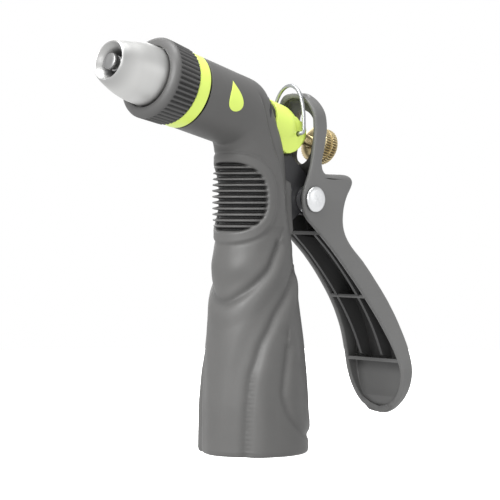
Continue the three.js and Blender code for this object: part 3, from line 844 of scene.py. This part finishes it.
def rod_slot():
    """The tall hole in the web that the stem passes through."""
    half, top, low = 4.4, 111.6, 101.6
    front, rear = 21.2, 32
    angle = np.linspace(0, np.pi, 17)
    ring = [(half * math.cos(a), top + half * math.sin(a)) for a in angle]
    ring += [(-half * math.cos(a), low - half * math.sin(a)) for a in angle]
    y, z = np.array(ring).T
    points = np.concatenate([side_points(x + 0 * y, y, z) for x in (front, rear)])
    return bare_object("rod_slot", points, prism_faces(len(ring)))


def trigger_lever():
    outer = lever_skin(LEVER_ROWS, 0)
    inner = lever_skin(LEVER_ROWS, CHEEK_WALL)[:, ::-1]
    ahead = outer[:, 0] - outer[:, 5]
    ahead[:, 1] = 0
    ahead /= np.maximum(np.linalg.norm(ahead, axis=1), 0.2)[:, None]
    far_lip = lever_lip(outer[:, -1], inner[:, 0], ahead)
    near_lip = lever_lip(inner[:, -1], outer[:, 0], ahead)
    section = np.concatenate([outer, far_lip, inner, near_lip], 1)
    rows, columns = section.shape[:2]
    points = side_points(section[..., 0], section[..., 1], section[..., 2])
    lever = bare_object("squeeze_lever", points.reshape(-1, 3), grid_faces(rows, columns, False, True))
    combine(lever, lever_ribs(), "UNION")
    combine(lever, [rod_slot()], "DIFFERENCE")
    tidy(lever.data, 40)
    paint_hollow_shade(lever.data, outer)
    belongs(lever, "lever", "lever", ["trigger_lever"])


def paint_hollow_shade(mesh, skin):
    """Marks the hollow of the lever for painted shade, by the depth below the outer skin."""
    rows, columns = skin.shape[:2]
    points = side_points(skin[..., 0], skin[..., 1], skin[..., 2]).reshape(-1, 3)
    tree = BVHTree.FromPolygons([tuple(p) for p in points], grid_faces(rows, columns, False, False))
    depth = np.array([tree.find_nearest(vertex.co)[3] for vertex in mesh.vertices]) / MM
    attribute = mesh.attributes.new("inside", "FLOAT", "POINT")
    height = np.array([vertex.co.z for vertex in mesh.vertices]) / MM
    # The painted shade eases off to a fifth in the bowl at the tail.
    above_bowl = 0.2 + 0.8 * smooth_step(height, 22, 27.5)
    attribute.data.foreach_set("value", smooth_step(depth, 1.2, 2.6) * above_bowl)


# ---- pieces turned about the barrel axis ----
def nose_cone():
    flange = [(-45.6, 7), (-45.6, 11.1), (-47.3, 11.1), (-47.3, 9.92), (-48.2, 9.92)]
    shell = spline([(-49, 9.92), (-52, 9.95), (-55, 9.8), (-59, 9.15), (-63.5, 7.85), (-65.8, 6.95)], 40)
    rim = [(-66.15, 6.75), (-66.35, 6.5), (-66.3, 6.3), (-66.1, 6.12)]
    throat = spline([(-65.9, 6.0), (-64.2, 4.75), (-62.2, 3.9), (-60.2, 3.35), (-58.6, 3.2)], 16)
    bore = [(-56.5, 3.6), (-53.6, 7), (-49.2, 7), (-49.2, 8.1), (-46.8, 8.1), (-46.8, 7)]
    profile = np.array([*flange, *shell, *rim, *throat, *bore])
    station, radius = profile.T
    # Painted shade: darkest deep in the funnel's throat, with a lighter darkening towards the tip of the
    # shell.
    throat_shade = smooth_step(station, -65.9, -62.5) * (radius < 6.1)
    shade = np.maximum(throat_shade, 0.45 * smooth_step(-station, 60, 66))
    columns = 180
    grid_piece("nose_cone_turned", lathe_points(profile, columns), True, True, "nose", "twist_tip",
               "satin_nose", nodes=["nose_cone"], sharp=35, inside=np.repeat(shade, columns))


def deflector_pin():
    head = [(-65.9, 0), (-65.95, 1.2), (-66, 2.35), (-65.85, 2.6), (-65.55, 2.7), (-64.6, 2.7)]
    groove_and_shoulder = [
        (-64.35, 2.55), (-64.2, 2.2), (-63.3, 2.2), (-63.1, 2.55), (-62.8, 2.65), (-61.9, 2.65),
        (-61.5, 2.5),
    ]
    shank = [(-60.4, 1.7), (-52.3, 1.7), (-52.3, 0)]
    lathe("deflector_pin_turned", [*head, *groove_and_shoulder, *shank], 0, "pin", "stem", "satin_nose",
          columns=96, nodes=["deflector_pin"], sharp=40)


COLLAR_RIBS = 50
COLLAR_RIB_DEPTH = 0.75


def twist_collar():
    ribs_front = -47.2
    stations = np.linspace(ribs_front, COLLAR_REAR - 0.35, 22)
    flank = np.stack([stations, np.interp(stations, [ribs_front, COLLAR_REAR], [13.6, 13.1])], -1)
    rolled_edge = [
        (0.35, 10.25), (0.05, 10.45), (0, 10.8), (0.05, 11.4), (0.25, 12.1), (0.7, 12.8), (1.3, 13.3),
        (1.9, 13.55),
    ]
    front = [(COLLAR_FRONT + back, radius) for back, radius in rolled_edge]
    rear = [(COLLAR_REAR - 0.1, 12.95), (COLLAR_REAR, 12.7), (COLLAR_REAR, 9.9)]
    bore = [(-44.4, 9.9), (-44.4, 11.4), (-47.6, 11.4), (-47.6, 10.25)]

    def ribs(station, angle, radius):
        along = smooth_step(station, -47.4, -46.3)
        cut = (0.5 - 0.5 * np.cos(angle * COLLAR_RIBS))**1.3
        return np.where(radius > 12.9, -COLLAR_RIB_DEPTH * along * cut, 0)

    # shade paints shade into the gaps between the ribs.
    lathe("twist_collar_ribbed", [*front, *flank, *rear, *bore], 0, "collar", "twist_tip",
          "collar_plastic", columns=COLLAR_RIBS * 12, relief=ribs, shade=1.1, nodes=["twist_collar"],
          sharp=50)


def accent_ring():
    front, rear = COLLAR_REAR + 0.3, COVER_FRONT - 0.3
    profile = [(front, 9.9), (front, 12.62), (rear, 12.62), (rear, 9.9)]
    lathe("accent_band", profile, 0.3, "lime", "body", "lime_plastic", columns=160, nodes=["accent_ring"])


KNURLS = 40
KNURL_DEPTH = 0.65


def adjusting_nut():
    """Two knurled bands with a plain bead between them, and a domed front."""
    radius, neck = 6.3, 5.95
    middle = (NUT_FRONT + 1.7 + NUT_REAR) / 2
    dome = [(0, 2.3), (0, 2.8), (0.25, 4), (0.7, 5), (1.3, 5.75)]
    front = [(NUT_FRONT + back, r) for back, r in dome]
    first = [(station, radius) for station in np.linspace(NUT_FRONT + 1.7, middle - 0.5, 8)]
    bead = [(-0.35, neck), (-0.2, neck), (-0.1, 6.2), (0.1, 6.2), (0.2, neck), (0.35, neck)]
    between = [(middle + back, r) for back, r in bead]
    second = [(station, radius) for station in np.linspace(middle + 0.5, NUT_REAR - 0.5, 8)]
    edge = [(-0.15, neck), (0, 5.6), (0, 4.2), (-0.4, 3.8), (-0.4, 2.3)]
    rear = [(NUT_REAR + back, r) for back, r in edge]

    def knurl(station, angle, at_radius):
        tooth = (0.5 - 0.5 * np.cos(angle * KNURLS))**0.8
        band = smooth_step(station, NUT_FRONT + 1.4, NUT_FRONT + 2.2)
        band = band * (1 - smooth_step(station, NUT_REAR - 0.9, NUT_REAR - 0.3))
        return np.where(at_radius > 6.25, -KNURL_DEPTH * tooth * (0.35 + 0.65 * band), 0)

    # shade paints shade into the gaps between the knurls.
    lathe("brass_adjusting_nut", [*front, *first, *between, *second, *rear], 0, "brass", "adjuster",
          "brass", columns=KNURLS * 10, relief=knurl, shade=1.2, nodes=["adjusting_nut"], sharp=45)


ROD_R = 2
THREAD_PITCH = 0.7
THREAD_DEPTH = 0.3


def valve_stem():
    """The rod from the spray pin to the nut, with its spring collar and its threaded rear end."""
    thread_start, end = 21.5, NUT_REAR + 1.3
    plain = [
        (-52, 0), (-52, 1.4), (-41.8, 1.4), (-41.8, ROD_R), (-36, ROD_R), (-36, 4.2), (-34.6, 4.2),
        (-34.6, ROD_R),
    ]
    threaded = [(station, ROD_R) for station in np.linspace(thread_start, end - 0.4, 170)]
    tail = [(end - 0.1, 1.75), (end, 1.5), (end, 0)]

    def thread(station, angle, radius):
        wave = np.abs(((station / THREAD_PITCH + angle / (2 * np.pi)) % 1) * 2 - 1)
        return np.where((station > thread_start) & (radius > 1.9), -THREAD_DEPTH * wave, 0)

    lathe("brass_valve_stem", [*plain, *threaded, *tail], 0, "brass", "stem", "brass", columns=48,
          relief=thread, nodes=["valve_stem"], sharp=40)


# ---- packing nut and hold-open wire ----
EAR = [
    (7, 3), (10.2, 4.6), (13, 4.4), (16.4, 2.8), (18, 0.2), (18.3, -2.2), (17.4, -4.9), (15.8, -6.8),
    (13.6, -8.2), (11.6, -8.8), (9.6, -8.3), (7.5, -7), (6, -5),
]
EAR_INNER = 3.5
EAR_OUTER = 6.85
STEM_HOLE_R = 2.3
WIRE_R = 0.65
WIRE_HOLE_R = 0.95


def ear_plate(side):
    station, up = np.array(EAR).T
    rings = [barrel_points(station, side * y, up) for y in (EAR_INNER, EAR_OUTER)]
    return bare_object(f"ear_{side}", np.concatenate(rings), prism_faces(len(EAR)))


def cross_rod(name, y0, y1, radius):
    """A plain round cutter along the wire's pivot line."""
    angle = np.linspace(0, 2 * np.pi, 24, endpoint=False)
    station = CLIP_STATION + radius * np.cos(angle)
    up = CLIP_UP + radius * np.sin(angle)
    rings = [barrel_points(station, y, up) for y in (y0, y1)]
    return bare_object(name, np.concatenate(rings), capped_faces(2, 24))


def along_rod(name, station0, station1, radius):
    """A plain round cutter along the barrel axis."""
    angle = np.linspace(0, 2 * np.pi, 32, endpoint=False)
    rings = [barrel_points(station, radius * np.sin(angle), radius * np.cos(angle))
             for station in (station0, station1)]
    return bare_object(name, np.concatenate(rings), capped_faces(2, 32))


def packing_nut():
    dome = spline([(10.5, 8), (12.2, 7.6), (14, 6.9), (15.4, 6.1), (16.4, 5.6)], 14)
    front = [(-2, 0), (-2, 5.7), (COVER_REAR + 0.1, 5.7), (COVER_REAR + 0.1, 8.2)]
    rear = [(20.2, 5.4), (20.9, 4.7), (20.9, 0)]
    profile = [*front, *dome, *rear]
    body = bare_object("packing_nut_moulded", lathe_points(np.array(profile), 96).reshape(-1, 3),
                       grid_faces(len(profile), 96, False, True))
    combine(body, [ear_plate(-1), ear_plate(1)], "UNION")
    voxels = body.modifiers.new("remesh", "REMESH")
    voxels.mode = "VOXEL"
    voxels.voxel_size = 0.00026
    even = body.modifiers.new("smooth", "SMOOTH")
    even.factor = 0.5
    even.iterations = 9
    bake(body)
    tools = [cross_rod(f"hole_{side}", side * 4.6, side * 9, WIRE_HOLE_R) for side in (-1, 1)]
    tools.append(along_rod("stem_hole", -4, 24, STEM_HOLE_R))
    combine(body, tools, "DIFFERENCE")
    tidy(body.data, 50)
    belongs(body, "lime", "body", ["packing_nut"])


def swept_tube(path, radius, sides):
    """Rings square to a path in the row frame, carried along it without twist."""
    ahead = np.gradient(path, axis=0)
    ahead /= np.linalg.norm(ahead, axis=1)[:, None]
    side = np.cross(ahead[0], REAR)
    rings = []
    angle = np.linspace(0, 2 * np.pi, sides, endpoint=False)
    for here, direction in zip(path, ahead):
        side = side - direction * (side @ direction)
        side /= np.linalg.norm(side)
        other = np.cross(direction, side)
        rings.append(here + radius * (side * np.cos(angle)[:, None] + other * np.sin(angle)[:, None]))
    return np.array(rings)


def hold_open_clip():
    """One bent wire. half runs from its tip in the near ear to just short of the bow's top."""
    half = [
        (0, -5.4, 0), (0, -6.6, 0), (0.1, -7.5, 0.1), (0.5, -8.15, 0.5), (0.8, -8.3, 1.4),
        (0.5, -7.85, 4.6), (-0.1, -7, 9), (-0.8, -5.35, 13.3), (-1.3, -3, 15.9),
    ]
    whole = [*half, (-1.5, 0, 16.9), *[(station, -y, up) for station, y, up in half[::-1]]]
    station, y, up = spline(whole, 260).T
    rings = swept_tube(barrel_points(CLIP_STATION + station, y, CLIP_UP + up), WIRE_R * MM, 20)
    keep("hold_open_wire", rings.reshape(-1, 3), capped_faces(*rings.shape[:2]), "wire", "clip", "steel",
         ["hold_open_clip"], 50)


# ---- rivet, emblem and inlet thread ----
def pivot_rivet():
    """Shank with a hammered dome at each end, turned about Y at the pivot."""
    half = CHEEK_HALF + 0.3
    dome = [
        (4.15, 0), (4.4, 0.15), (4.35, 0.5), (4.1, 0.8), (3.7, 1.05), (3.2, 1.22), (2.6, 1.33),
        (1.9, 1.38), (1.1, 1.4), (0, 1.4),
    ]
    near = [(-half - height, radius) for radius, height in dome[::-1]]
    far = [(half + height, radius) for radius, height in dome]
    shank = [(-half, 2.4), (half, 2.4)]
    profile = np.array([*near, *shank, *far])
    angle = np.linspace(0, 2 * np.pi, 72, endpoint=False)[None, :]
    y = profile[:, :1] + 0 * angle
    radius = profile[:, 1:] + 0 * angle
    dents = np.sin(radius * 3.1 + 2 * angle) * np.sin(radius * 1.7 + 3 * angle + 1)
    y = y - np.sign(y) * 0.08 * (dents + 1) * (np.abs(y) > half + 0.9)
    x = PIVOT.x - HANDLE_X + radius * np.cos(angle)
    points = side_points(x, y, PIVOT.z + radius * np.sin(angle))
    grid_piece("hammered_pivot_rivet", points, False, True, "steel", "lever", "steel",
               nodes=["pivot_rivet"])


DROP_STATION = -21
DROP_UP = 1.4
DROP_SPREAD = 4.4
DROP_HEIGHT = 10.0
DROP_GROUND = 12.28  # radius of the cover under the drop


def drop_emblem(side):
    """A plain water drop inlaid in the side of the barrel, slightly proud."""
    rays, steps = 72, 9
    turn = np.linspace(0, 2 * np.pi, rays, endpoint=False)
    across = DROP_SPREAD * np.sin(turn) * np.sin(turn / 2)**1.4
    tall = DROP_HEIGHT / 2 * np.cos(turn)
    share = np.r_[np.linspace(0, 1, steps), 1.0]
    proud = np.r_[np.full(steps - 1, 0.22), 0.16, -0.6]
    sine, cosine = -REAR.z, REAR.x
    rings = []
    for k, out in zip(share, proud):
        station = DROP_STATION + k * (across * cosine - tall * sine)
        up = DROP_UP + k * (across * sine + tall * cosine)
        rings.append(barrel_points(station, side * np.sqrt((DROP_GROUND + out)**2 - up**2), up))
    points = np.array(rings)
    name = "drop_emblem_near" if side < 0 else "drop_emblem_far"
    faces = grid_faces(*points.shape[:2], False, True)
    faces.append(tuple(range(steps * rays, (steps + 1) * rays)))
    keep(name, points.reshape(-1, 3), faces, "lime", "body", "lime_plastic", (), 40)


def inlet_thread():
    """Internal hose thread, as a sleeve with a helical ridge."""
    pitch, low, high = 2.209, 1.2, 10.6
    root, outside, crest = 13.25, 13.6, 0.95
    columns = 120
    angle = np.linspace(0, 2 * np.pi, columns, endpoint=False)[None, :]
    height = np.linspace(low, high, 90)[:, None] + 0 * angle
    wave = np.abs(((height / pitch + angle / (2 * np.pi)) % 1) * 2 - 1)
    ends = smooth_step(height, low, low + 1.5) * (1 - smooth_step(height, high - 1.5, high))
    inner = root - crest * np.clip(wave * 1.6 - 0.3, 0, 1) * ends
    radius = np.concatenate([inner, np.full((2, columns), outside)])
    z = np.concatenate([height, np.full((1, columns), high), np.full((1, columns), low)])
    points = side_points(radius * np.cos(angle), radius * np.sin(angle), z)
    grid_piece("hose_thread", points, True, True, "casting", "body", "zinc_casting", sharp=40)


MATERIALS = make_materials()
make_camera()
make_lights()
make_world()
make_floor()
grip_cover()
trigger_lever()
nose_cone()
deflector_pin()
twist_collar()
accent_ring()
adjusting_nut()
valve_stem()
packing_nut()
hold_open_clip()
pivot_rivet()
drop_emblem(-1)
drop_emblem(1)
inlet_thread()
for node, finish_name in {
    "body_casting": "casting", "inlet_washer": "seal", "accent_ring": "lime", "twist_collar": "collar",
    "nose_cone": "nose", "tip_o_ring": "seal", "valve_stem": "brass", "deflector_pin": "pin",
    "valve_washer": "seal", "valve_retainer": "brass", "spring_washer": "steel", "return_spring": "steel",
    "packing_washer": "brass", "packing_ring": "seal", "packing_nut": "lime", "hold_open_clip": "steel",
    "trigger_lever": "lever", "pivot_rivet": "steel", "pivot_washer_near": "steel",
    "pivot_washer_far": "steel", "adjusting_nut": "brass",
}.items():
    cad = frame["nodes"][node]
    cad.data.materials.clear()
    cad.data.materials.append(MATERIALS[finish_name])
